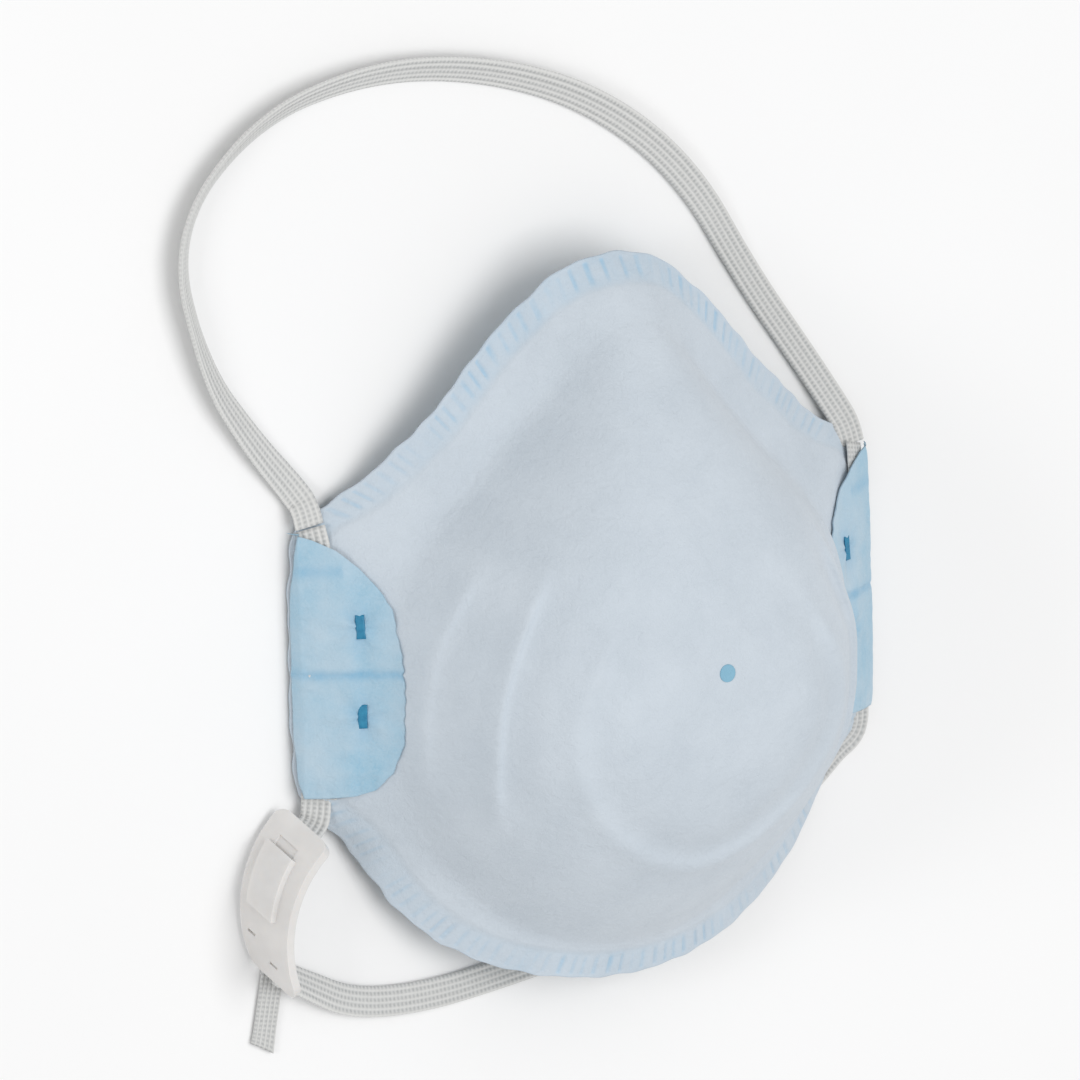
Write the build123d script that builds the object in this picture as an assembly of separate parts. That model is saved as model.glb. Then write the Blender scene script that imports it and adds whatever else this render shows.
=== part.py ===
from build123d import *
import math
import os
import numpy as np

# Disposable cup-shaped dust mask, millimetres.
# +Z is the front of the mask, +Y points to the nose, X runs ear to ear.
# It stands on its face seal: the undersides of the two side wings are at z = 0.
os.makedirs("parts", exist_ok=True)

# ---------------- driving dimensions ----------------
LIFT = 0.95            # height of the web's outer face over its lowest measured edge
SHIFT_Y = 3.35         # middle of nose and chin
APEX = 51.6            # height of the dome over the face plane
T_OUTER = 1.20         # moulded outer web
T_FILTER = 0.70        # filter web
T_LINING = 0.50        # inner lining
CRIMP_WIDTH = 5.5      # welded band round the edge
CRIMP_SQUEEZE = 0.40   # thickness left in that band
STRAP_W = 6.0          # elastic band width
STRAP_T = 0.8          # elastic band thickness
STRAP_Z = 0.05         # underside of a band that lies on the table
FLAP_T = 0.50
WELD_W, WELD_L = 1.6, 4.8
BUCKLE_T = 1.6         # buckle plate
BUCKLE_W = (2.8, -6.4, 12.2)   # across the plate, from its low edge to its high edge

# half outline of the rim, nose to chin: x, y, z of the outer face
RIM = [
    (0, 74.4, 13.4), (6, 73.8, 13.2), (12.9, 71.0, 12.3), (19, 66.3, 11.2), (25.9, 60.1, 10.0),
    (32, 53.2, 9.0), (39, 45.6, 7.8), (47, 38.3, 5.2), (52, 34.4, 3.2), (57.6, 31.0, 1.8),
    (62.3, 28.6, 0.9), (64.6, 25.5, 0.4), (65.6, 18, 0.2), (66, 0, 0.1), (65.8, -16, 0.2),
    (65.0, -24.5, 0.4), (62.8, -28.5, 0.9), (59, -32.4, 1.4), (55.2, -36.5, 2.0), (52.5, -40.4, 2.6),
    (49.7, -44.5, 3.3), (46.6, -48.7, 4.0), (42.4, -53.1, 4.9), (37, -57.5, 6.1), (28, -62.4, 8.6),
    (18, -65.6, 10.9), (9, -67.2, 12.3), (0, -67.7, 12.9)]
# half outline of the dome's foot
FOOT = [
    (0, 62.5, 22.0), (5, 61.2, 21.6), (10, 57.0, 20.2), (15, 51.2, 18.4), (20, 45.3, 16.6),
    (26, 39.0, 14.9), (33, 31.5, 13.6), (41, 23.5, 12.9), (46.8, 15, 12.8), (49.6, 5, 13.0),
    (50.3, -6, 13.2), (49.6, -17, 13.2), (47.2, -27, 12.8), (43, -36, 12.2), (37.5, -43.5, 11.8),
    (30, -50.5, 11.9), (20, -56.5, 13.2), (10, -59.5, 14.8), (0, -60.5, 15.4)]
# how full the dome is from nose to chin: angle in degrees, exponent
FULL_T = np.radians([0, 20, 45, 70, 90, 110, 135, 160, 180])
FULL_E = np.array([1.75, 1.8, 2.1, 2.9, 3.5, 3.5, 3.1, 2.75, 2.6])
POLE_Y = -2.0


def pchip(xk, yk, x):
    h = np.diff(xk)
    d = np.diff(yk) / h
    m = np.zeros_like(yk)
    w1, w2 = 2 * h[1:] + h[:-1], h[1:] + 2 * h[:-1]
    ok = d[:-1] * d[1:] > 0
    m[1:-1][ok] = (w1 + w2)[ok] / (w1[ok] / d[:-1][ok] + w2[ok] / d[1:][ok])
    i = np.clip(np.searchsorted(xk, x, side="right") - 1, 0, len(xk) - 2)
    t = (x - xk[i]) / h[i]
    return ((2 * t**3 - 3 * t**2 + 1) * yk[i] + (t**3 - 2 * t**2 + t) * h[i] * m[i]
            + (-2 * t**3 + 3 * t**2) * yk[i + 1] + (t**3 - t**2) * h[i] * m[i + 1])


def table(rows):
    a = np.array(rows, float)
    return np.arctan2(a[:, 0], a[:, 1] - POLE_Y), np.hypot(a[:, 0], a[:, 1] - POLE_Y), a[:, 2]


TR, RR, ZR = table(RIM)
TB, RB, ZB = table(FOOT)
UPPER = np.array([p for p in FOOT if p[1] >= -6][::-1], float)
FOOT_X, FOOT_Y, FOOT_Z = UPPER[:, 0], UPPER[:, 1], UPPER[:, 2]


def raw(x, y):
    th, r = np.arctan2(np.abs(x), y - POLE_Y), np.hypot(x, y - POLE_Y)
    rr, zr = pchip(TR, RR, th), pchip(TR, ZR, th)
    rb, zb = pchip(TB, RB, th), pchip(TB, ZB, th)
    a = pchip(FULL_T, FULL_E, th)
    low = zb + (APEX - zb) * (1 - np.minimum(r / rb, 1) ** a)
    # towards the nose the dome is a broad panel: across, each section is full and round
    yc = np.clip(y, -6.0, 62.4)
    half, edge = pchip(FOOT_Y, FOOT_X, yc), pchip(FOOT_Y, FOOT_Z, yc)
    crown = FOOT[0][2] + (APEX - FOOT[0][2]) * (1 - np.clip((y - POLE_Y) / (FOOT[0][1] - POLE_Y), 0, 1) ** 1.75)
    high = edge + np.maximum(crown - edge, 0) * (1 - np.minimum(np.abs(x) / np.maximum(half, 0.8), 1) ** 3.2)
    s = np.clip((y - POLE_Y) / 22.0, 0, 1)
    s = s * s * (3 - 2 * s)
    dome = low + (high - low) * s
    flange = zb + (zr - zb) * (r - rb) / (rr - rb)
    return np.where(r < rb, dome, flange)


def form(x, y):
    """Outer face height, softened over a few millimetres, in the part's frame."""
    x, y = np.asarray(x, float), np.asarray(y, float) + SHIFT_Y
    z = 0.25 * raw(x, y)
    for k in range(8):
        a = k * math.pi / 4
        z = z + 0.0625 * raw(x + 1.3 * math.cos(a), y + 1.3 * math.sin(a))
        a += math.pi / 8
        z = z + 0.03125 * raw(x + 2.7 * math.cos(a), y + 2.7 * math.sin(a))
    return z + LIFT


def squeeze(x, y):
    """1 over the dome and flange, CRIMP_SQUEEZE in the welded band."""
    yy = y + SHIFT_Y
    th, r = np.arctan2(np.abs(x), yy - POLE_Y), np.hypot(x, yy - POLE_Y)
    inside = pchip(TR, RR, th) - r
    s = np.clip((inside - CRIMP_WIDTH) / 3.0, 0, 1)
    return CRIMP_SQUEEZE + (1 - CRIMP_SQUEEZE) * s * s * (3 - 2 * s)


def depth(x, y):
    """Upright distance for one millimetre of thickness."""
    e = 0.5
    gx = (form(x + e, y) - form(x - e, y)) / (2 * e)
    gy = (form(x, y + e) - form(x, y - e)) / (2 * e)
    return np.minimum(np.sqrt(1 + gx * gx + gy * gy), 2.2) * squeeze(x, y)


def surface(height, x0=-72.0, x1=72.0, y0=-78.0, y1=78.0, step=3.0):
    nx, ny = int(round((x1 - x0) / step)), int(round((y1 - y0) / step))
    xs, ys = np.linspace(x0, x1, nx + 1), np.linspace(y0, y1, ny + 1)
    rows = []
    for x in xs:
        z = height(np.full_like(ys, x), ys)
        rows.append([(float(x), float(y), float(h)) for y, h in zip(ys, z)])
    return Face.make_surface_from_array_of_points(rows, tol=0.05, smoothing=(1, 1, 1), max_deg=5)


def below(height, **box):
    """Everything within 60 mm under a height surface."""
    return Solid.extrude(surface(height, **box), Vector(0, 0, -60))


def outline(points):
    """Upright prism on a smooth closed outline."""
    e = Edge.make_spline([(float(a), float(b), -20.0) for a, b in points], periodic=True)
    return Solid.extrude(Face(Wire([e])), Vector(0, 0, 100))


def polygon_prism(points, z0=-20.0, high=100.0):
    w = Wire.make_polygon([(a, b, z0) for a, b in points], close=True)
    return Solid.extrude(Face(w), Vector(0, 0, high))


def main_solid(shape):
    """The largest solid of a result."""
    found = []
    for s in (shape if isinstance(shape, (list, tuple)) else [shape]):
        found += list(s.solids())
    return max(found, key=lambda q: q.volume)


def slab(prism, top, bottom, **box):
    s = main_solid(prism.intersect(below(top, **box)))
    return main_solid(s.cut(below(bottom, **box)))


def save(shape, name, color=None):
    shape.label = name
    export_step(shape, f"parts/{name}.step")
    print(name, len(shape.solids()), "solids", round(shape.volume, 1), "mm3")


# ---------------- the three webs ----------------
rim_xy = [(x, y - SHIFT_Y) for x, y, z in RIM] + [(-x, y - SHIFT_Y) for x, y, z in RIM[-2:0:-1]]
rim_prism = outline(rim_xy)
D0 = 0.0
D1 = T_OUTER
D2 = T_OUTER + T_FILTER
D3 = T_OUTER + T_FILTER + T_LINING


def at(d):
    return lambda x, y: form(x, y) - d * depth(x, y)


block = main_solid(rim_prism.intersect(below(at(D0))))
block = main_solid(block.cut(below(at(D3))))
# the wings' undersides are pressed flat where the mask stands
block = main_solid(block.intersect(Pos(0, 0, 50) * Box(200, 200, 100)))
under_outer, under_filter = below(at(D1)), below(at(D2))
outer_shell = main_solid(block.cut(under_outer))
rest = main_solid(block.intersect(under_outer))
filter_layer = main_solid(rest.cut(under_filter))
inner_lining = main_solid(rest.intersect(under_filter))
print("webs", block.volume, outer_shell.volume, filter_layer.volume, inner_lining.volume)
# the spot weld at the apex goes through the outer web
apex = Pos(0, -4.6, 0) * Cylinder(1.75, 200)
apex_hole = Pos(0, -4.6, 0) * Cylinder(1.80, 200)
apex_weld = slab(main_solid(apex),
                 lambda x, y: form(x, y) - 0.55, at(D1), x0=-9, x1=9, y0=-15, y1=6, step=3.0)
outer_shell = main_solid(outer_shell.cut(apex_hole))

# ---------------- side flaps, their welds and the bands inside them ----------------
FLAP = [(66.0, 22.9), (62.5, 21.6), (58.8, 19.5), (55, 16), (52, 11.8), (50.3, 8), (49.9, 1),
        (49.9, -18.6), (51, -24), (53.5, -27.6), (58, -28.7), (65.2, -28.9)]
WELDS = [(55.6, 4.7), (55.9, -12.7)]
RUN_X = 61.6           # middle of the band inside its flap


def over(x, y):
    """How far the flap stands over the web: over the band, and beside it."""
    a = np.abs(x)
    s = np.clip((a - 54.8) / 4.0, 0, 1)
    return 0.16 + (STRAP_T + 0.44) * s * s * (3 - 2 * s)


flaps, welds, runs = {}, {}, {}
for side, s in (("left", -1), ("right", 1)):
    box = dict(x0=46 if s > 0 else -70, x1=70 if s > 0 else -46, y0=-36, y1=36, step=1.5)
    pts = [(s * a, b) for a, b in FLAP]
    up = lambda x, y: form(x, y) + over(x, y) + FLAP_T * np.minimum(depth(x, y) / squeeze(x, y), 1.6)
    dn = lambda x, y: form(x, y) + over(x, y)
    flap = slab(polygon_prism(pts), up, dn, **box)
    hole = Compound(children=[Pos(s * a, b, 0) * Box(WELD_W, WELD_L, 200) for a, b in WELDS])
    nug = [Pos(s * a, b, 0) * Box(WELD_W - 0.1, WELD_L - 0.1, 200) for a, b in WELDS]
    flap = main_solid(flap.cut(*[h for h in hole.solids()]))
    flaps[side] = flap
    nw = [slab(main_solid(n), lambda x, y: form(x, y) + 0.38, lambda x, y: form(x, y) + 0.04, **box) for n in nug]
    welds[side] = Compound(children=nw)
    strip = [(s * (RUN_X - STRAP_W / 2), 24.4), (s * (RUN_X + STRAP_W / 2), 22.2),
             (s * (RUN_X + STRAP_W / 2), -29.0), (s * (RUN_X - STRAP_W / 2), -32.0)]
    runs[side] = slab(polygon_prism(strip), lambda x, y: form(x, y) + 0.14 + STRAP_T,
                      lambda x, y: form(x, y) + 0.14, **box)

# ---------------- the elastic band that lies on the table ----------------
HEAD_ROUTE = [(-63.4, 30.0), (-73.0, 41.0), (-84.8, 56.5), (-91.6, 83.9), (-71.8, 103.9), (-45.5, 110.2),
              (-19.4, 107.6), (6.0, 98.2), (26.4, 81.6), (40.2, 58.5), (52.2, 41.6), (59.2, 30.6)]
NECK_ROUTE = [(60.3, -34.6), (53.8, -40.8), (41.5, -50.6), (23.0, -60.6), (2.0, -66.8), (-19.5, -70.4), (-38.0, -72.4),
              (-54.0, -71.2), (-64.8, -65.6)]


def radii(points):
    v = [Vector(*p) for p in points]
    out = []
    for a, b, c in zip(v, v[1:], v[2:]):
        turn = math.radians((b - a).get_angle(c - b))
        out.append(0.45 * min((b - a).length, (c - b).length) / math.tan(turn / 2))
    return out


def band(points, name):
    pts = [(a, b, STRAP_Z + STRAP_T / 2) for a, b in points]
    r = radii(pts)
    print(name, "radii", [round(q, 1) for q in r], "runs",
          [round(math.dist(a, b), 1) for a, b in zip(pts, pts[1:])])
    line = FilletPolyline(*pts, radius=r)
    wire = line if isinstance(line, Wire) else Wire(line.edges())
    t = wire.tangent_at(0)
    plane = Plane(origin=pts[0], x_dir=Vector(0, 0, 1).cross(t), z_dir=t)
    face = plane * Rectangle(STRAP_W, STRAP_T)
    solid = sweep(face, path=wire, transition=Transition.RIGHT)
    print(name, "length", round(wire.length, 1), "volume", round(solid.volume, 1),
          "section x length", round(STRAP_W * STRAP_T * wire.length, 1))
    return solid.solids()[0]


head_strap = band(HEAD_ROUTE, "head_strap")
neck_strap = band(NECK_ROUTE, "neck_strap")

# tail of the band, beyond the buckle: it can be pulled on through it
TAIL_DIR = Vector(-0.19, -0.982, 0).normalized()
TAIL_END = Vector(-74.2, -77.0, STRAP_Z + STRAP_T / 2)
TAIL_LENGTH = 29.0
TAIL_W = 5.2
tail_plane = Plane(origin=TAIL_END - TAIL_DIR * TAIL_LENGTH / 2, x_dir=TAIL_DIR, z_dir=(0, 0, 1))
strap_tail = (tail_plane * Box(TAIL_LENGTH, TAIL_W, STRAP_T)).solids()[0]

# ---------------- buckle ----------------
LOW_EDGE = 1.25        # the plate's low edge stands on the band
BUCKLE_LINE = [(-67.8, -30.9), (-76.8, -45.0), (-74.6, -59.2)]
w = Vector(*BUCKLE_W)
arc = ThreePointArc(*[(a, b, LOW_EDGE) for a, b in BUCKLE_LINE])


def strip_face(t0, t1, off0, off1):
    """Face in the level plane along the buckle's bend, between two offsets to its outer side."""
    ts = [t0 + (t1 - t0) * k / 4 for k in range(5)]

    def row(off):
        out = []
        for t in ts:
            p, d = arc.position_at(t), arc.tangent_at(t)
            n = Vector(d.Y, -d.X, 0) * -1.0
            n = n if n.X < 0 else n * -1.0
            out.append(p + n * off)
        return out
    a, b = row(off0), row(off1)
    return Face(Wire([Spline(*a).edge(), Line(a[-1], b[-1]).edge(), Spline(*b).edge(), Line(b[0], a[0]).edge()]))


plate = Solid.extrude(strip_face(0.0, 1.0, 0.0, BUCKLE_T), w)
cross = [e for e in plate.edges() if abs(e.length - BUCKLE_T) < 0.35]
try:
    plate = plate.fillet(2.2, cross).solids()[0]
except Exception as err:
    print("plate corners stay square:", err)
bridge = Solid.extrude(strip_face(0.20, 0.56, BUCKLE_T - 0.05, BUCKLE_T + 1.15).moved(Location(w * 0.22)), w * 0.52)
slot_cut = Solid.extrude(strip_face(0.14, 0.52, BUCKLE_T - 0.25, BUCKLE_T + 0.60).moved(Location(w * 0.29)), w * 0.38)
buckle = plate.fuse(bridge)
buckle = buckle.cut(slot_cut)
for t, k in ((0.74, 0.22), (0.84, 0.62)):
    p, d = arc.position_at(t), arc.tangent_at(t)
    n = Vector(-abs(d.Y), d.X * (1 if d.Y > 0 else -1), 0)
    q = p + w * k + n * BUCKLE_T
    buckle = buckle.cut(Plane(origin=q, x_dir=w.normalized(), z_dir=n) * Box(2.2, 0.6, 1.0))
buckle = buckle.solids()[0]

# short stretch of band from the left flap to the buckle's bridge
A = Vector(-62.4, -34.0, 2.5)
pb, db = arc.position_at(0.16), arc.tangent_at(0.16)
nb = Vector(-abs(db.Y), db.X * (1 if db.Y > 0 else -1), 0)
B = pb + w * 0.48 + nb * (BUCKLE_T + 0.9)
ab = B - A
side_dir = (w.normalized() + Vector(0.6, 0, 0)).cross(ab).cross(ab).normalized()
buckle_strap = (Plane(origin=A + ab * 0.5, x_dir=ab.normalized(), z_dir=ab.cross(side_dir).normalized())
                * Box(ab.length, STRAP_W * 0.9, STRAP_T)).solids()[0]

# pieces that touch are trimmed to meet face to face
buckle_strap = main_solid(buckle_strap.cut(buckle))
apex_weld = main_solid(apex_weld.cut(filter_layer))
for side in ("left", "right"):
    welds[side] = Compound(children=[main_solid(n.cut(outer_shell)) for n in welds[side].solids()])

save(outer_shell, "outer_shell")
save(filter_layer, "filter_layer")
save(inner_lining, "inner_lining")
save(apex_weld, "apex_weld")
for side in ("left", "right"):
    save(flaps[side], f"side_flap_{side}")
    save(welds[side], f"flap_welds_{side}")
    save(runs[side], f"channel_strap_{side}")
save(head_strap, "head_strap")
save(neck_strap, "neck_strap")
save(buckle_strap, "buckle_strap")
save(strap_tail, "strap_tail")
save(buckle, "buckle")
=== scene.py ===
import math
import bpy
import bmesh
import numpy as np
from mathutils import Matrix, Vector


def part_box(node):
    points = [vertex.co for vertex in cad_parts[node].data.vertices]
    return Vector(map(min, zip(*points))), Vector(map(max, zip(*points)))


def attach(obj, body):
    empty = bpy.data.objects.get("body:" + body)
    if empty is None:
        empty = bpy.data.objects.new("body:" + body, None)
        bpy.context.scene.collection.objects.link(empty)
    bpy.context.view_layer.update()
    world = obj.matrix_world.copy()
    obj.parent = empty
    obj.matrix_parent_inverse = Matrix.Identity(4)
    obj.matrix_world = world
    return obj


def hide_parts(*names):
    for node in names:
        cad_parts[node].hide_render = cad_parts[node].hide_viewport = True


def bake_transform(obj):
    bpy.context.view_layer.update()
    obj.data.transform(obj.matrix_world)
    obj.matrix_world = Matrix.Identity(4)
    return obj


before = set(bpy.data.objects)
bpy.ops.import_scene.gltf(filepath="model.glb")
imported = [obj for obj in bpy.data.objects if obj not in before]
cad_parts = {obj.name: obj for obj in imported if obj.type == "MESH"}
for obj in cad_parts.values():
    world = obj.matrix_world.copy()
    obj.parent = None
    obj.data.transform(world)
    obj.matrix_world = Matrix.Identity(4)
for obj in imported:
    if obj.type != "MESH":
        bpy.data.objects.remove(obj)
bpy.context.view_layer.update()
MM = 0.001

# ---------------- camera, at the long-lens view from the lower left front ----------------
right = Vector((0.842, -0.023, 0.539)).normalized()
upv = Vector((0.1165, 0.977, -0.182))
upv = (upv - right * upv.dot(right)).normalized()
back = right.cross(upv).normalized()
cam_data = bpy.data.cameras.new("camera")
cam = bpy.data.objects.new("camera", cam_data)
bpy.context.scene.collection.objects.link(cam)
SPAN = 1080 / 5.2 * MM            # what the frame shows across, at the object
DIST = 4.0
cam_data.sensor_width = 36.0
cam_data.lens = 36.0 * DIST / SPAN
# the frame's middle is 41 px left and 80 px above the point between the flaps
origin = Vector((0, -3.35 * MM, 0.95 * MM))
mid = origin + right * (540 - 581) / 5.2 * MM + upv * (620 - 540) / 5.2 * MM
cam.location = mid + back * DIST
from mathutils import Matrix
m = Matrix((right, upv, back)).transposed().to_4x4()
m.translation = cam.location
cam.matrix_world = m
cam_data.clip_end = 30
bpy.context.scene.camera = cam


# ---------------- materials ----------------
def nodes_of(name):
    mat = bpy.data.materials.new(name)
    mat.use_nodes = True
    nt = mat.node_tree
    bsdf = nt.nodes["Principled BSDF"]
    return mat, nt, bsdf


def coords(nt, scale=(1, 1, 1)):
    tc = nt.nodes.new("ShaderNodeTexCoord")
    mp = nt.nodes.new("ShaderNodeMapping")
    mp.inputs["Scale"].default_value = scale
    nt.links.new(tc.outputs["Object"], mp.inputs["Vector"])
    return mp.outputs["Vector"]


def noise(nt, vec, scale, detail=4, rough=0.6, distortion=0.0):
    n = nt.nodes.new("ShaderNodeTexNoise")
    n.inputs["Scale"].default_value = scale
    n.inputs["Detail"].default_value = detail
    n.inputs["Roughness"].default_value = rough
    n.inputs["Distortion"].default_value = distortion
    nt.links.new(vec, n.inputs["Vector"])
    return n.outputs["Fac"]


def ramp(nt, fac, stops):
    r = nt.nodes.new("ShaderNodeValToRGB")
    while len(r.color_ramp.elements) < len(stops):
        r.color_ramp.elements.new(0.5)
    for e, (p, c) in zip(r.color_ramp.elements, stops):
        e.position = p
        e.color = (*c, 1)
    nt.links.new(fac, r.inputs["Fac"])
    return r.outputs["Color"]


def mix(nt, fac, a, b, mode="MIX"):
    n = nt.nodes.new("ShaderNodeMix")
    n.data_type = "RGBA"
    n.blend_type = mode
    for sock, val in ((n.inputs["Factor"], fac), (n.inputs[6], a), (n.inputs[7], b)):
        if hasattr(val, "is_output"):
            nt.links.new(val, sock)
        elif isinstance(val, (int, float)):
            sock.default_value = val
        else:
            sock.default_value = (*val, 1)
    return n.outputs[2]


def bump(nt, bsdf, heights, strength=0.3, dist=0.0003):
    last = None
    for h, s, d in heights:
        b = nt.nodes.new("ShaderNodeBump")
        b.inputs["Strength"].default_value = s
        b.inputs["Distance"].default_value = d
        nt.links.new(h, b.inputs["Height"])
        if last is not None:
            nt.links.new(last, b.inputs["Normal"])
        last = b.outputs["Normal"]
    nt.links.new(last, bsdf.inputs["Normal"])


def web_material(name, light, dark, tint, tint_attr=True, tint_amount=1.0):
    """Needled nonwoven: fine matted fibres over soft cloudy unevenness."""
    mat, nt, b = nodes_of(name)
    v = coords(nt)
    vs = coords(nt, (1, 0.22, 1))
    cloud = noise(nt, v, 60, 3)
    fibre = noise(nt, vs, 1900, 5, 0.7, 1.4)
    fibre2 = noise(nt, v, 900, 6, 0.75, 2.0)
    col = mix(nt, ramp(nt, cloud, [(0.3, (0, 0, 0)), (0.7, (1, 1, 1))]), dark, light)
    col = mix(nt, ramp(nt, fibre2, [(0.35, (0.0,) * 3), (0.62, (0.35,) * 3)]), col, tuple(min(1, c * 1.05) for c in light))
    if tint_attr:
        a = nt.nodes.new("ShaderNodeAttribute")
        a.attribute_name = "tint"
        patch = noise(nt, v, 260, 3)
        m1 = nt.nodes.new("ShaderNodeMath")
        m1.operation = "MULTIPLY"
        nt.links.new(a.outputs["Fac"], m1.inputs[0])
        nt.links.new(ramp(nt, patch, [(0.25, (0.35,) * 3), (0.65, (1,) * 3)]), m1.inputs[1])
        col = mix(nt, m1.outputs[0], col, tint)
    nt.links.new(col, b.inputs["Base Color"])
    rr = ramp(nt, fibre, [(0.3, (0.82,) * 3), (0.7, (0.97,) * 3)])
    nt.links.new(rr, b.inputs["Roughness"])
    b.inputs["Sheen Weight"].default_value = 0.25
    b.inputs["Sheen Roughness"].default_value = 0.5
    b.inputs["Specular IOR Level"].default_value = 0.2
    felt = noise(nt, v, 420, 4, 0.6, 0.8)
    bump(nt, b, [(cloud, 0.10, 0.002), (felt, 0.35, 0.0009), (fibre2, 0.22, 0.00035), (fibre, 0.25, 0.0002)])
    return mat


white_web = web_material("white_web", (0.595, 0.655, 0.715), (0.53, 0.59, 0.65), (0.30, 0.53, 0.72))
blue_web = web_material("blue_web", (0.49, 0.61, 0.70), (0.28, 0.50, 0.65), (0.08, 0.36, 0.60))
white_cut = web_material("white_cut", (0.80, 0.84, 0.87), (0.72, 0.78, 0.83), (0.5, 0.7, 0.85), False)


def weld_material():
    mat, nt, b = nodes_of("weld_teal")
    v = coords(nt)
    n = noise(nt, v, 900, 4)
    nt.links.new(ramp(nt, n, [(0.3, (0.010, 0.17, 0.32)), (0.7, (0.025, 0.25, 0.42))]), b.inputs["Base Color"])
    nt.links.new(ramp(nt, n, [(0.3, (0.35,) * 3), (0.7, (0.55,) * 3)]), b.inputs["Roughness"])
    bump(nt, b, [(n, 0.3, 0.0003)])
    return mat


def elastic_material():
    """Ribbed elastic: long ribs by the band's own coordinate, with dashed stitches between them. The grooves between
    the ribs are painted darker as shade, and darker still at the stitches.
    """
    mat, nt, b = nodes_of("elastic")
    uv = nt.nodes.new("ShaderNodeUVMap")
    uv.uv_map = "UVMap"
    sep = nt.nodes.new("ShaderNodeSeparateXYZ")
    nt.links.new(uv.outputs["UV"], sep.inputs[0])

    def math_node(op, a, c):
        n = nt.nodes.new("ShaderNodeMath")
        n.operation = op
        for i, val in enumerate((a, c)):
            if hasattr(val, "is_output"):
                nt.links.new(val, n.inputs[i])
            else:
                n.inputs[i].default_value = val
        return n.outputs[0]
    # u runs across 0..1, v runs along in mm
    rib = math_node("SINE", math_node("MULTIPLY", sep.outputs["X"], 2 * math.pi * 5), 0)
    stitch = math_node("SINE", math_node("MULTIPLY", sep.outputs["Y"], 2 * math.pi / 0.9), 0)
    both = math_node("ADD", math_node("MULTIPLY", rib, 0.42), 0.5)
    st = math_node("ADD", math_node("MULTIPLY", stitch, 0.5), 0.5)
    # painted shade: the colour darkens with the depth of the grooves between the ribs, and most at the dashed stitches
    dark = math_node("MULTIPLY", math_node("SUBTRACT", 1.0, both), math_node("ADD", math_node("MULTIPLY", st, 0.7), 0.3))
    v = coords(nt)
    fz = noise(nt, v, 1500, 4)
    col = mix(nt, dark, (0.70, 0.70, 0.685), (0.40, 0.41, 0.41))
    col = mix(nt, ramp(nt, fz, [(0.35, (0,) * 3), (0.7, (0.3,) * 3)]), col, (0.76, 0.76, 0.75))
    nt.links.new(col, b.inputs["Base Color"])
    nt.links.new(ramp(nt, fz, [(0.3, (0.7,) * 3), (0.7, (0.9,) * 3)]), b.inputs["Roughness"])
    b.inputs["Sheen Weight"].default_value = 0.2
    b.inputs["Specular IOR Level"].default_value = 0.25
    bump(nt, b, [(both, 0.6, 0.0004), (st, 0.25, 0.0002), (fz, 0.2, 0.0002)])
    return mat


def buckle_material():
    mat, nt, b = nodes_of("buckle_plastic")
    v = coords(nt)
    n, f = noise(nt, v, 90, 3), noise(nt, v, 1400, 4)
    nt.links.new(ramp(nt, n, [(0.3, (0.66, 0.645, 0.63)), (0.7, (0.74, 0.725, 0.71))]), b.inputs["Base Color"])
    nt.links.new(ramp(nt, f, [(0.3, (0.36,) * 3), (0.7, (0.46,) * 3)]), b.inputs["Roughness"])
    b.inputs["Subsurface Weight"].default_value = 0.25
    b.inputs["Subsurface Radius"].default_value = (0.004, 0.0035, 0.003)
    b.inputs["Subsurface Scale"].default_value = 0.4
    bump(nt, b, [(n, 0.08, 0.002), (f, 0.06, 0.0002)])
    return mat


weld_mat, elastic_mat, buckle_mat = weld_material(), elastic_material(), buckle_material()

# ---------------- the mask's form, the same numbers as the CAD ----------------
LIFT, SHIFT_Y, APEX, POLE_Y = 0.95, 3.35, 51.6, -2.0
# half outline of the rim, nose to chin: x, y, z of the outer face
RIM = [
    (0, 74.4, 13.4), (6, 73.8, 13.2), (12.9, 71.0, 12.3), (19, 66.3, 11.2), (25.9, 60.1, 10.0),
    (32, 53.2, 9.0), (39, 45.6, 7.8), (47, 38.3, 5.2), (52, 34.4, 3.2), (57.6, 31.0, 1.8),
    (62.3, 28.6, 0.9), (64.6, 25.5, 0.4), (65.6, 18, 0.2), (66, 0, 0.1), (65.8, -16, 0.2),
    (65.0, -24.5, 0.4), (62.8, -28.5, 0.9), (59, -32.4, 1.4), (55.2, -36.5, 2.0), (52.5, -40.4, 2.6),
    (49.7, -44.5, 3.3), (46.6, -48.7, 4.0), (42.4, -53.1, 4.9), (37, -57.5, 6.1), (28, -62.4, 8.6),
    (18, -65.6, 10.9), (9, -67.2, 12.3), (0, -67.7, 12.9)]
# half outline of the dome's foot
FOOT = [
    (0, 62.5, 22.0), (5, 61.2, 21.6), (10, 57.0, 20.2), (15, 51.2, 18.4), (20, 45.3, 16.6),
    (26, 39.0, 14.9), (33, 31.5, 13.6), (41, 23.5, 12.9), (46.8, 15, 12.8), (49.6, 5, 13.0),
    (50.3, -6, 13.2), (49.6, -17, 13.2), (47.2, -27, 12.8), (43, -36, 12.2), (37.5, -43.5, 11.8),
    (30, -50.5, 11.9), (20, -56.5, 13.2), (10, -59.5, 14.8), (0, -60.5, 15.4)]
# how full the dome is from nose to chin: angle in degrees, exponent
FULL_T = np.radians([0, 20, 45, 70, 90, 110, 135, 160, 180])
FULL_E = np.array([1.75, 1.8, 2.1, 2.9, 3.5, 3.5, 3.1, 2.75, 2.6])


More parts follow.
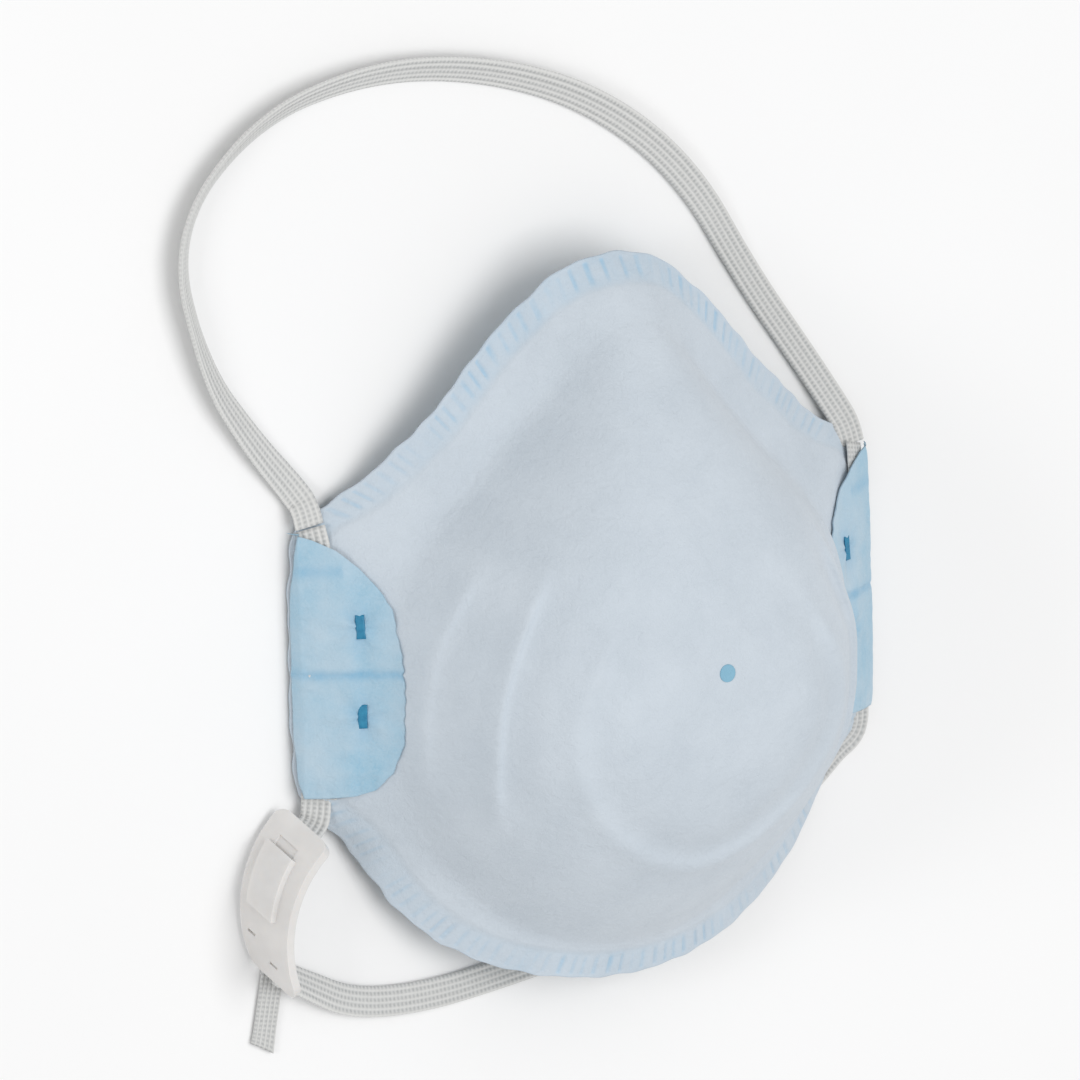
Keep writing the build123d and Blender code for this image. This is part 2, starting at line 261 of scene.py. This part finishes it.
def pchip(xk, yk, x):
    h = np.diff(xk)
    d = np.diff(yk) / h
    m = np.zeros_like(yk)
    w1, w2 = 2 * h[1:] + h[:-1], h[1:] + 2 * h[:-1]
    ok = d[:-1] * d[1:] > 0
    m[1:-1][ok] = (w1 + w2)[ok] / (w1[ok] / d[:-1][ok] + w2[ok] / d[1:][ok])
    i = np.clip(np.searchsorted(xk, x, side="right") - 1, 0, len(xk) - 2)
    t = (x - xk[i]) / h[i]
    return ((2 * t**3 - 3 * t**2 + 1) * yk[i] + (t**3 - 2 * t**2 + t) * h[i] * m[i]
            + (-2 * t**3 + 3 * t**2) * yk[i + 1] + (t**3 - t**2) * h[i] * m[i + 1])


def table(rows):
    a = np.array(rows, float)
    return np.arctan2(a[:, 0], a[:, 1] - POLE_Y), np.hypot(a[:, 0], a[:, 1] - POLE_Y), a[:, 2]


TR, RR, ZR = table(RIM)
TB, RB, ZB = table(FOOT)
UPPER = np.array([p for p in FOOT if p[1] >= -6][::-1], float)
FOOT_X, FOOT_Y, FOOT_Z = UPPER[:, 0], UPPER[:, 1], UPPER[:, 2]


def raw(x, y):
    th, r = np.arctan2(np.abs(x), y - POLE_Y), np.hypot(x, y - POLE_Y)
    rr, zr = pchip(TR, RR, th), pchip(TR, ZR, th)
    rb, zb = pchip(TB, RB, th), pchip(TB, ZB, th)
    a = pchip(FULL_T, FULL_E, th)
    low = zb + (APEX - zb) * (1 - np.minimum(r / rb, 1) ** a)
    # towards the nose the dome is a broad panel: across, each section is full and round
    yc = np.clip(y, -6.0, 62.4)
    half, edge = pchip(FOOT_Y, FOOT_X, yc), pchip(FOOT_Y, FOOT_Z, yc)
    crown = FOOT[0][2] + (APEX - FOOT[0][2]) * (1 - np.clip((y - POLE_Y) / (FOOT[0][1] - POLE_Y), 0, 1) ** 1.75)
    high = edge + np.maximum(crown - edge, 0) * (1 - np.minimum(np.abs(x) / np.maximum(half, 0.8), 1) ** 3.2)
    s = np.clip((y - POLE_Y) / 22.0, 0, 1)
    s = s * s * (3 - 2 * s)
    dome = low + (high - low) * s
    flange = zb + (zr - zb) * (r - rb) / (rr - rb)
    return np.where(r < rb, dome, flange)


def form(x, y):
    """Outer face height, softened over a few millimetres, in the part's frame."""
    x, y = np.asarray(x, float), np.asarray(y, float) + SHIFT_Y
    z = 0.25 * raw(x, y)
    for k in range(8):
        a = k * math.pi / 4
        z = z + 0.0625 * raw(x + 1.3 * math.cos(a), y + 1.3 * math.sin(a))
        a += math.pi / 8
        z = z + 0.03125 * raw(x + 2.7 * math.cos(a), y + 2.7 * math.sin(a))
    return z + LIFT




def rim_gap(x, y):
    """Distance inside the rim, towards the middle, and the angle round it."""
    yy = y + SHIFT_Y
    th, r = np.arctan2(np.abs(x), yy - POLE_Y), np.hypot(x, yy - POLE_Y)
    return pchip(TR, RR, th) - r, th, r / pchip(TB, RB, th)


def bell(d, w):
    return np.exp(-(d / w) ** 2)


def step01(x, a, b):
    s = np.clip((x - a) / (b - a), 0, 1)
    return s * s * (3 - 2 * s)


# crescent ribs on each cheek and the ring round the middle panel: (x, y) of the step line, mm
RIB1 = [(34.5, 23.0), (38.6, 17.2), (42.6, 10.6), (45.6, 4.2), (47.6, -2.3), (48.4, -12.2), (48.1, -18.8), (47.2, -25.6), (44.6, -33.2)]
RIB2 = [(28.0, 20.5), (31.8, 15.0), (35.2, 8.4), (38.3, 1.0), (40.2, -5.4), (41.0, -14.0), (40.4, -24.4), (38.4, -31.5), (35.4, -37.5)]
RING = [(18.5, 13.0), (22.9, 5.0), (25.8, 0.1), (29.2, -6.7), (30.5, -12.1), (30.3, -18.7), (28.2, -24.4), (22.1, -33.8),
        (14.3, -40.3), (5.7, -44.3), (0.0, -45.2)]


def to_line(x, y, pts):
    """Signed distance (out is positive) and the share along a line of points, for x >= 0."""
    best, sign, share = np.full(np.shape(x), 1e9), np.zeros(np.shape(x)), np.zeros(np.shape(x))
    n = len(pts) - 1
    for k, ((ax, ay), (bx, by)) in enumerate(zip(pts, pts[1:])):
        dx, dy = bx - ax, by - ay
        t = np.clip(((x - ax) * dx + (y - ay) * dy) / (dx * dx + dy * dy), 0, 1)
        qx, qy = x - ax - t * dx, y - ay - t * dy
        d = np.hypot(qx, qy)
        hit = d < best
        best = np.where(hit, d, best)
        sign = np.where(hit, np.sign(-(dx * qy - dy * qx)) * -1, sign)
        share = np.where(hit, (k + t) / n, share)
    return best * np.where(sign == 0, 1, sign), share


def smooth_pts(pts, k=6):
    out, P = [], [np.array(p, float) for p in pts]
    P = [2 * P[0] - P[1]] + P + [2 * P[-1] - P[-2]]
    for a, b, c, d in zip(P, P[1:], P[2:], P[3:]):
        for t in np.arange(k) / k:
            out.append(tuple(0.5 * (2 * b + (c - a) * t + (2 * a - 5 * b + 4 * c - d) * t * t + (3 * b - a - 3 * c + d) * t ** 3)))
    return out + [tuple(P[-2])]


RIB1, RIB2, RING = smooth_pts(RIB1, 4), smooth_pts(RIB2, 4), smooth_pts(RING, 4)


def relief(x, y):
    """Moulded detail on the dome, mm along the surface."""
    x, y = np.asarray(x, float), np.asarray(y, float)
    ax = np.abs(x)
    z = np.zeros_like(ax)
    for pts, h in ((RIB1, 1.7), (RIB2, 1.7)):
        d, s = to_line(ax, y, pts)
        fade = step01(s, 0.0, 0.28) * (1 - step01(s, 0.72, 1.0))
        z = z + h * fade * (bell(d, 1.25) - 0.75 * bell(d + 3.0, 2.3))
    d, s = to_line(ax, y, RING)
    fade = step01(s, 0.0, 0.25)
    z = z + fade * (0.8 * bell(d, 1.9) - 0.95 * bell(d + 4.2, 3.0))
    return z


def hash_wave(a, b, seed=0):
    return (np.sin(a * 1.7 + seed) * np.cos(b * 1.3 - seed * 2) + 0.6 * np.sin(a * 3.9 + b * 2.7 + seed * 3)
            + 0.4 * np.cos(b * 5.1 - a * 1.1 + seed)) / 2.0


def web_height(x, y):
    gap, th, rho = rim_gap(x, y)
    z = form(x, y)
    inside = step01(gap, 9, 16)
    z = z + relief(x, y) * inside + 0.13 * hash_wave(x / 5.5, y / 6.5, 1.0) * step01(gap, 2, 8)
    # the welded band lies lower, with short raised strokes across it
    band = 1 - step01(gap, 4.8, 6.2)
    arc = (th + 0.15) * 62.0
    arc = arc + 0.35 * np.sin(arc * 0.61 + 1.0)
    s = np.abs(((arc / 2.55) % 1.0) - 0.5) * 2
    some = 0.55 + 0.45 * np.sin(arc * 0.37 + np.where(x > 0, 1.3, 0.0)) * np.cos(arc * 0.17)
    stroke = (1 - step01(s, 0.16, 0.42)) * step01(gap, 0.5, 1.1) * (1 - step01(gap, 3.6, 5.2)) * some
    z = z - 0.34 * band - 0.34 * stroke
    return z, band, stroke, th, gap


def polar_sheet(height, n_th, n_r, rmin=0.0, edge_wave=0.0):
    """Rings of points from the pole out to the rim."""
    ths = np.linspace(-math.pi, math.pi, n_th, endpoint=False)
    rr = pchip(TR, RR, np.abs(ths))
    k = np.linspace(0, 1, n_r)
    k = np.where(k < 0.8, k / 0.8 * 0.88, 0.88 + (k - 0.8) / 0.2 * 0.12)
    wave = 1 + edge_wave * (0.5 * np.sin(ths * 61) + 0.5 * np.sin(ths * 37 + 1)) / rr
    K, T = np.meshgrid(k, ths, indexing="ij")
    R = K * (rr * wave)[None, :] * 0.9985
    X = R * np.sin(T)
    Y = R * np.cos(T) + POLE_Y - SHIFT_Y
    return X, Y


def mesh_object(name, verts, faces, mat, smooth=True):
    me = bpy.data.meshes.new(name)
    me.from_pydata([tuple(v) for v in verts], [], faces)
    me.materials.append(mat)
    me.validate()
    me.update()
    if smooth:
        me.polygons.foreach_set("use_smooth", [True] * len(me.polygons))
    ob = bpy.data.objects.new(name, me)
    bpy.context.scene.collection.objects.link(ob)
    return ob


def closed_slab(name, top, bot, wrap, mat):
    """Grid of top and bottom points (rows from the middle out, wrapping round) closed at the outer edge."""
    n, m = top.shape[:2]
    V = np.concatenate([top.reshape(-1, 3), bot.reshape(-1, 3)]) * MM
    F = []
    for i in range(n - 1):
        for j in range(m if wrap else m - 1):
            j2 = (j + 1) % m
            a, b, c, d = i * m + j, (i + 1) * m + j, (i + 1) * m + j2, i * m + j2
            o = n * m
            F.append((a, b, c, d))
            F.append((o + a, o + d, o + c, o + b))
    last = n - 1
    for j in range(m if wrap else m - 1):
        j2 = (j + 1) % m
        a, b = last * m + j, last * m + j2
        F.append((a, n * m + a, n * m + b, b))
    if not wrap:
        F += [(j, j + 1, n * m + j + 1, n * m + j) for j in range(m - 1)]
        for i in range(n - 1):
            a, b = i * m, (i + 1) * m
            F.append((a, n * m + a, n * m + b, b))
            a, b = i * m + m - 1, (i + 1) * m + m - 1
            F.append((a, b, n * m + b, n * m + a))
    ob = mesh_object(name, V, F, mat)
    bm = bmesh.new()
    bm.from_mesh(ob.data)
    bmesh.ops.remove_doubles(bm, verts=bm.verts, dist=1e-7)
    bmesh.ops.recalc_face_normals(bm, faces=bm.faces)
    bm.to_mesh(ob.data)
    bm.free()
    return ob


def thick(x, y):
    gap, th, rho = rim_gap(x, y)
    e = 0.5
    gx = (form(x + e, y) - form(x - e, y)) / (2 * e)
    gy = (form(x, y + e) - form(x, y - e)) / (2 * e)
    return 2.4 * np.minimum(np.sqrt(1 + gx * gx + gy * gy), 2.0) * (0.40 + 0.60 * step01(gap, 5.5, 8.5))


def set_tint(ob, values):
    at = ob.data.attributes.new("tint", "FLOAT", "POINT")
    at.data.foreach_set("value", np.asarray(values, np.float32))


# ---------------- webs ----------------
N_TH, N_R = 1200, 240
X, Y = polar_sheet(None, N_TH, N_R, edge_wave=0.22)
ZT, BAND, STROKE, TH, GAP = web_height(X, Y)
T = thick(X, Y)
ZB_ = form(X, Y) - T + relief(X, Y) * step01(GAP, 9, 16)
ZB_ = np.maximum(ZB_, 0.02)


def layer(name, a, b, mat, every=1):
    t = np.stack([X, Y, ZT + (ZB_ - ZT) * a], -1)[::every, ::every]
    u = np.stack([X, Y, ZT + (ZB_ - ZT) * b], -1)[::every, ::every]
    return closed_slab(name, t, u, True, mat)


def tint_of(ob):
    co = np.zeros(len(ob.data.vertices) * 3, np.float32)
    ob.data.vertices.foreach_get("co", co)
    co = co.reshape(-1, 3) / MM
    x, y = co[:, 0].astype(float), co[:, 1].astype(float)
    z, band, stroke, th, gap = web_height(x, y)
    strong = 0.42 + 0.40 * (1 - step01(th, 0.25, 1.0)) + 0.30 * step01(th, 2.5, 2.9) * (0.5 + 0.5 * np.sin(th * 41))
    return np.clip(band * 0.26 * strong + stroke * strong * 0.8, 0, 1)


outer = layer("outer_web", 0.0, 0.49, white_web)
set_tint(outer, tint_of(outer))
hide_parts("outer_shell"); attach(outer, "mask")
filt = layer("filter_web", 0.51, 0.77, white_cut, 3)
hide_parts("filter_layer"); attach(filt, "mask")
lining = layer("lining_web", 0.79, 1.0, blue_web, 2)
set_tint(lining, np.zeros(len(lining.data.vertices)))
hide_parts("inner_lining"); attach(lining, "mask")

# apex weld: a small melted dimple
th_ = np.linspace(0, 2 * math.pi, 40, endpoint=False)
rr_ = np.linspace(0.0, 1.72, 12)
R_, A_ = np.meshgrid(rr_, th_, indexing="ij")
ax_, ay_ = R_ * np.cos(A_), R_ * np.sin(A_) - 4.6
az_ = web_height(ax_, ay_)[0] + 0.16 - 0.10 * (1 - (R_ / 1.72) ** 2)
dimple = closed_slab("apex_dimple", np.stack([ax_, ay_, az_], -1), np.stack([ax_, ay_, az_ - 0.3], -1), True, weld_mat)
dimple.data.materials[0] = web_material("apex_blue", (0.26, 0.48, 0.62), (0.17, 0.38, 0.52), (0.1, 0.4, 0.6), False)
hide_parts("apex_weld"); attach(dimple, "mask")

# ---------------- side flaps ----------------
FLAP = [(66.0, 22.9), (62.5, 21.6), (58.8, 19.5), (55, 16), (52, 11.8), (50.3, 8), (49.9, 1),
        (49.9, -18.6), (51, -24), (53.5, -27.6), (58, -28.7), (65.2, -28.9)]
WELDS = [(55.6, 4.7), (55.9, -12.7)]
inner_y = np.array([p[1] for p in FLAP][::-1])
inner_x = np.array([p[0] for p in FLAP][::-1])


def flap_over(a, y):
    s = step01(a, 54.8, 58.8)
    dent = sum(np.exp(-(((a - wx) / 2.6) ** 2 + ((y - wy) / 4.2) ** 2)) for wx, wy in WELDS)
    return 0.30 + 1.22 * s * (1 - 0.15 * dent) - 0.10 * dent


def flap_piece(side, s):
    ny, nx = 150, 60
    ys = np.linspace(-28.9, 22.9, ny)
    xin = np.interp(ys, inner_y, inner_x)
    xin = np.where(ys < -27.6, np.interp(ys, [-28.9, -28.7, -27.6], [60.5, 57.0, 53.5]), xin)
    xout = np.minimum(66.0, pchip(TR, RR, np.arctan2(66.0, ys + SHIFT_Y - POLE_Y)) * np.sin(np.arctan2(66.0, ys + SHIFT_Y - POLE_Y)))
    xin = xin + (0.22 if s > 0 else 0.05) * np.sin(ys * 2.2) * (xin < 52)
    k = np.linspace(0, 1, nx)
    A, YY = np.meshgrid(k, ys, indexing="ij")
    AX = xin[None, :] + (xout - xin)[None, :] * A
    z = form(AX, YY) + flap_over(AX, YY) + 0.5
    z = z - 1.5 * step01(AX, 65.0, 66.2)                    # rolls over the fold
    wx, wy = 0.5 * (WELDS[0][0] + WELDS[1][0]), 0.5 * (WELDS[0][1] + WELDS[1][1])
    crease = 0.45 * bell(YY + 4.6 + 0.02 * (AX - 58), 0.5)
    rays = 0
    for cx, cy in WELDS:
        r = np.hypot(AX - cx, YY - cy)
        an = np.arctan2(YY - cy, AX - cx)
        rays = rays + 0.34 * np.cos(an * 5 + cy) * np.exp(-((r - 3.5) / 3.2) ** 2)
    z = z - crease + rays + 0.14 * hash_wave(AX / 2.1, YY / 2.6, 2.0 + s)
    marks = (np.abs(((YY + 30) / 2.3) % 1 - 0.5) < 0.27) * step01(AX, 63.4, 63.7) * (1 - step01(AX, 65.0, 65.3)) * (YY > -8) * (YY < 9)
    hem = (np.abs(((AX) / 2.4) % 1 - 0.5) < 0.25) * (YY < -24.5) * (YY > -28.0)
    z = z - 0.16 * marks - 0.12 * hem
    top = np.stack([s * AX, YY, z], -1)
    bot = np.stack([s * AX, YY, np.maximum(z - 0.45, form(AX, YY) + 0.02)], -1)
    ob = closed_slab(f"flap_{side}", top, bot, False, blue_web)
    co = np.zeros(len(ob.data.vertices) * 3, np.float32)
    ob.data.vertices.foreach_get("co", co)
    co = co.reshape(-1, 3) / MM
    x, y = np.abs(co[:, 0]), co[:, 1]
    t = 0.42 * bell(y + 4.6, 1.0) + 0.3 * bell(y - 15.5, 1.2) * (x > 58)
    for cx, cy in WELDS:
        t = t + 0.35 * np.exp(-np.hypot(x - cx, (y - cy) / 1.8) ** 2 / 5)
    set_tint(ob, np.clip(t, 0, 1))
    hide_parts(f"side_flap_{side}"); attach(ob, "mask")
    # welds: slightly sunk melted bars
    V, F = [], []
    for cx, cy in WELDS:
        gx, gy = np.meshgrid(np.linspace(-0.75, 0.75, 9), np.linspace(-2.3, 2.3, 19), indexing="ij")
        edge = np.clip(1 - (np.abs(gx) / 0.75) ** 6, 0, 1) * np.clip(1 - (np.abs(gy) / 2.3) ** 6, 0, 1)
        zz = form(cx + gx, cy + gy) + flap_over(cx + gx, cy + gy) + 0.5 + 0.22 * edge + 0.22
        base = len(V)
        V += [(s * (cx + a), cy + b, c) for a, b, c in zip(gx.ravel(), gy.ravel(), zz.ravel())]
        V += [(s * (cx + a), cy + b, c - 0.35) for a, b, c in zip(gx.ravel(), gy.ravel(), zz.ravel())]
        n0, n1, o = 9, 19, 171
        for i in range(n0 - 1):
            for j in range(n1 - 1):
                q = [base + i * n1 + j, base + (i + 1) * n1 + j, base + (i + 1) * n1 + j + 1, base + i * n1 + j + 1]
                F += [tuple(q), tuple(v + o for v in q[::-1])]
        ring = [i * n1 for i in range(n0)] + [(n0 - 1) * n1 + j for j in range(1, n1)] + [i * n1 + n1 - 1 for i in range(n0 - 2, -1, -1)] + [j for j in range(n1 - 2, 0, -1)]
        for a, b in zip(ring, ring[1:] + ring[:1]):
            F.append((base + a, base + b, base + b + o, base + a + o))
    wob = mesh_object(f"weld_bars_{side}", np.array(V) * MM, F, weld_mat)
    bm = bmesh.new(); bm.from_mesh(wob.data); bmesh.ops.recalc_face_normals(bm, faces=bm.faces); bm.to_mesh(wob.data); bm.free()
    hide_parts(f"flap_welds_{side}"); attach(wob, "mask")


for side, s in (("left", -1), ("right", 1)):
    flap_piece(side, s)


# ---------------- the elastic band ----------------
def smooth_line(points, name):
    """Points along a smooth curve through the route's control points."""
    cu = bpy.data.curves.new(name, "CURVE")
    cu.dimensions = "3D"
    cu.resolution_u = 24
    sp = cu.splines.new("NURBS")
    sp.points.add(len(points) - 1)
    for p, q in zip(sp.points, points):
        p.co = (q[0] * MM, q[1] * MM, q[2] * MM, 1)
    sp.order_u = 3
    sp.use_endpoint_u = True
    ob = bpy.data.objects.new(name, cu)
    bpy.context.scene.collection.objects.link(ob)
    dg = bpy.context.evaluated_depsgraph_get()
    me = bpy.data.meshes.new_from_object(ob.evaluated_get(dg))
    line = [v.co.copy() for v in me.vertices]
    bpy.data.objects.remove(ob)
    bpy.data.meshes.remove(me)
    out = [line[0]]
    for p in line[1:]:
        if (p - out[-1]).length > 1e-6:
            out.append(p)
    return out


def ribbon(name, line, tilt, width=6.0, thickness=1.0, ribs=5):
    """A flat ribbed band along a line. tilt gives the angle from flat, by the share of its length."""
    L = [0.0]
    for a, b in zip(line, line[1:]):
        L.append(L[-1] + (b - a).length)
    n = 60
    prof = []
    w, t = width / 2, thickness / 2
    for i in range(n):
        a = 2 * math.pi * i / n
        cx, cy = math.cos(a), math.sin(a)
        px = w * math.copysign(abs(cx) ** 0.6, cx)
        rib = 0.80 + 0.20 * math.cos(2 * math.pi * ribs * (px / width))
        prof.append((px, t * math.copysign(abs(cy) ** 0.35, cy) * rib))
    V, F, UV = [], [], []
    for i, p in enumerate(line):
        d = (line[min(i + 1, len(line) - 1)] - line[max(i - 1, 0)]).normalized()
        side_v = d.cross(Vector((0, 0, 1))).normalized()
        u2 = side_v.cross(d).normalized()
        k = tilt(L[i] / L[-1])
        c, s = math.cos(k), math.sin(k)
        a, b = side_v * c + u2 * s, u2 * c - side_v * s
        for x, y in prof:
            V.append(p + a * x * MM + b * y * MM)
            UV.append((x / width + 0.5, L[i] / MM))
    m = len(line)
    for i in range(m - 1):
        for j in range(n):
            j2 = (j + 1) % n
            F.append((i * n + j, i * n + j2, (i + 1) * n + j2, (i + 1) * n + j))
    F.append(tuple(range(n - 1, -1, -1)))
    F.append(tuple((m - 1) * n + j for j in range(n)))
    ob = mesh_object(name, V, F, elastic_mat)
    uvl = ob.data.uv_layers.new(name="UVMap")
    for lp in ob.data.loops:
        uvl.data[lp.index].uv = UV[lp.vertex_index]
    return ob, L[-1]


def tilt_by(keys):
    ks, vs = [k for k, v in keys], [math.radians(v) for k, v in keys]
    return lambda t: float(np.interp(t, ks, vs))


def rise(points, tilts):
    """Lifts each control point so that a tilted band's low edge stays on the table."""
    n = len(points) - 1
    return [(p[0], p[1], 0.55 + 2.6 * abs(math.sin(tilts(i / n)))) for i, p in enumerate(points)]


HEAD_ROUTE = [(-63.4, 30.0), (-73.0, 41.0), (-84.0, 56.5), (-90.7, 83.9), (-71.8, 103.9), (-45.5, 110.2),
              (-19.4, 107.6), (6.0, 98.2), (26.4, 81.6), (40.2, 58.5), (52.2, 41.6), (59.2, 30.6)]
NECK_ROUTE = [(60.3, -34.6), (53.8, -40.8), (41.5, -50.6), (23.0, -60.6), (2.0, -66.8), (-19.5, -70.4), (-38.0, -72.4),
              (-54.0, -71.2), (-64.8, -65.6)]
head_tilt = tilt_by([(0, 6), (0.06, -14), (0.18, -45), (0.3, -48), (0.45, -35), (0.6, -26), (0.72, -12), (0.82, 0), (1, 4)])
HEAD_POINTS = rise(HEAD_ROUTE, head_tilt)
# the band leaves each flap's mouth over the wing's edge
HEAD_POINTS = [(-62.0, 24.0, 2.9), (-62.5, 27.2, 2.7)] + HEAD_POINTS[:1] + HEAD_POINTS[1:-1] + [(59.9, 29.6, 1.5), (61.0, 26.6, 2.8), (61.6, 23.4, 3.0)]
head_line = smooth_line(HEAD_POINTS, "head_line")
head, head_len = ribbon("head_band_elastic", head_line, head_tilt)
neck_tilt = tilt_by([(0, 0), (0.7, 0), (0.88, -12), (1, -40)])
NECK_POINTS = [(61.6, -27.5, 2.4), (61.7, -31.2, 2.6), (61.6, -34.6, 1.0), (58.0, -37.0, 0.5)] + rise(NECK_ROUTE, neck_tilt)[1:] + [(-69.3, -63.2, 2.6), (-73.2, -61.5, 3.0)]
neck_line = smooth_line(NECK_POINTS, "neck_line")
neck, neck_len = ribbon("neck_band_elastic", neck_line, neck_tilt)
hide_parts("head_strap")
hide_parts("neck_strap")
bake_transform(head)
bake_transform(neck)

# stretches inside the flaps, which come out of their mouths over the wing's edge
for side, s in (("left", -1), ("right", 1)):
    ys = np.linspace(23.6, -29.0 if s < 0 else -27.0, 80)
    xs = np.interp(ys, [-31.6, -26, 20, 25.6], [61.6, 61.6, 61.6, 62.2])
    z = form(xs, ys) + 0.66
    line = [Vector((s * a * MM, b * MM, c * MM)) for a, b, c in zip(xs, ys, z)]
    slope = math.radians(30) * s
    ob, _ = ribbon(f"channel_band_{side}", line, lambda t, q=slope: q, width=5.8, thickness=0.8)
    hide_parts(f"channel_strap_{side}"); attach(ob, "mask")

tail_line = [Vector((-74.2, -77.0, 0.5)) * MM - Vector((-0.19, -0.982, 0)) * 29 * MM * (1 - t) for t in np.linspace(0, 1, 60)]
tail, tail_len = ribbon("band_tail_elastic", tail_line, lambda t: 0.0, width=5.0, thickness=0.75)
for v in tail.data.vertices:            # cut at a slant
    y = v.co.y / MM
    if y < -73:
        v.co.y = (y + (v.co.x / MM + 74.0) * -0.35 * (-73 - y) / 4) * MM
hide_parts("strap_tail"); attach(tail, "band_tail")

lo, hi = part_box("buckle_strap")
short = [(-61.9, -28.2, 2.7), (-62.2, -31.6, 3.0), (-63.2, -34.4, 3.4), (lo.x / MM + 2.6, lo.y / MM + 1.2, hi.z / MM - 2.4)]
short_line = smooth_line(short, "short_line")
bstrap, _ = ribbon("buckle_band_elastic", short_line, tilt_by([(0, -22), (0.4, -30), (1, -52)]), width=5.8, thickness=0.8)
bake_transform(bstrap)
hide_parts("buckle_strap")

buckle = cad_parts["buckle"]
buckle.data.materials.clear()
buckle.data.materials.append(buckle_mat)

# ---------------- floor and lights ----------------
fm, nt, b = nodes_of("floor_white")
n = noise(nt, coords(nt), 6, 2)
nt.links.new(ramp(nt, n, [(0.2, (0.90, 0.90, 0.90)), (0.8, (0.93, 0.93, 0.93))]), b.inputs["Base Color"])
b.inputs["Roughness"].default_value = 0.9
bpy.ops.mesh.primitive_plane_add(size=6, location=(0, 0, -0.0002))
floor = bpy.context.object
floor.name = "floor"
floor.data.materials.append(fm)


def area(name, loc, size, power, target=(0, 0, 0.02)):
    d = bpy.data.lights.new(name, "AREA")
    d.size, d.energy = size, power
    o = bpy.data.objects.new(name, d)
    o.location = loc
    o.rotation_euler = (Vector(target) - Vector(loc)).to_track_quat("-Z", "Y").to_euler()
    bpy.context.scene.collection.objects.link(o)


area("key", (0.35, 0.1, 1.5), 1.2, 11.5)
area("side", (-1.05, 0.15, 0.5), 0.3, 2.3)
world = bpy.data.worlds.new("world")
bpy.context.scene.world = world
world.use_nodes = True
world.node_tree.nodes["Background"].inputs["Color"].default_value = (1.0, 1.0, 1.0, 1)
world.node_tree.nodes["Background"].inputs["Strength"].default_value = 0.585
bpy.context.scene.view_settings.view_transform = "Standard"
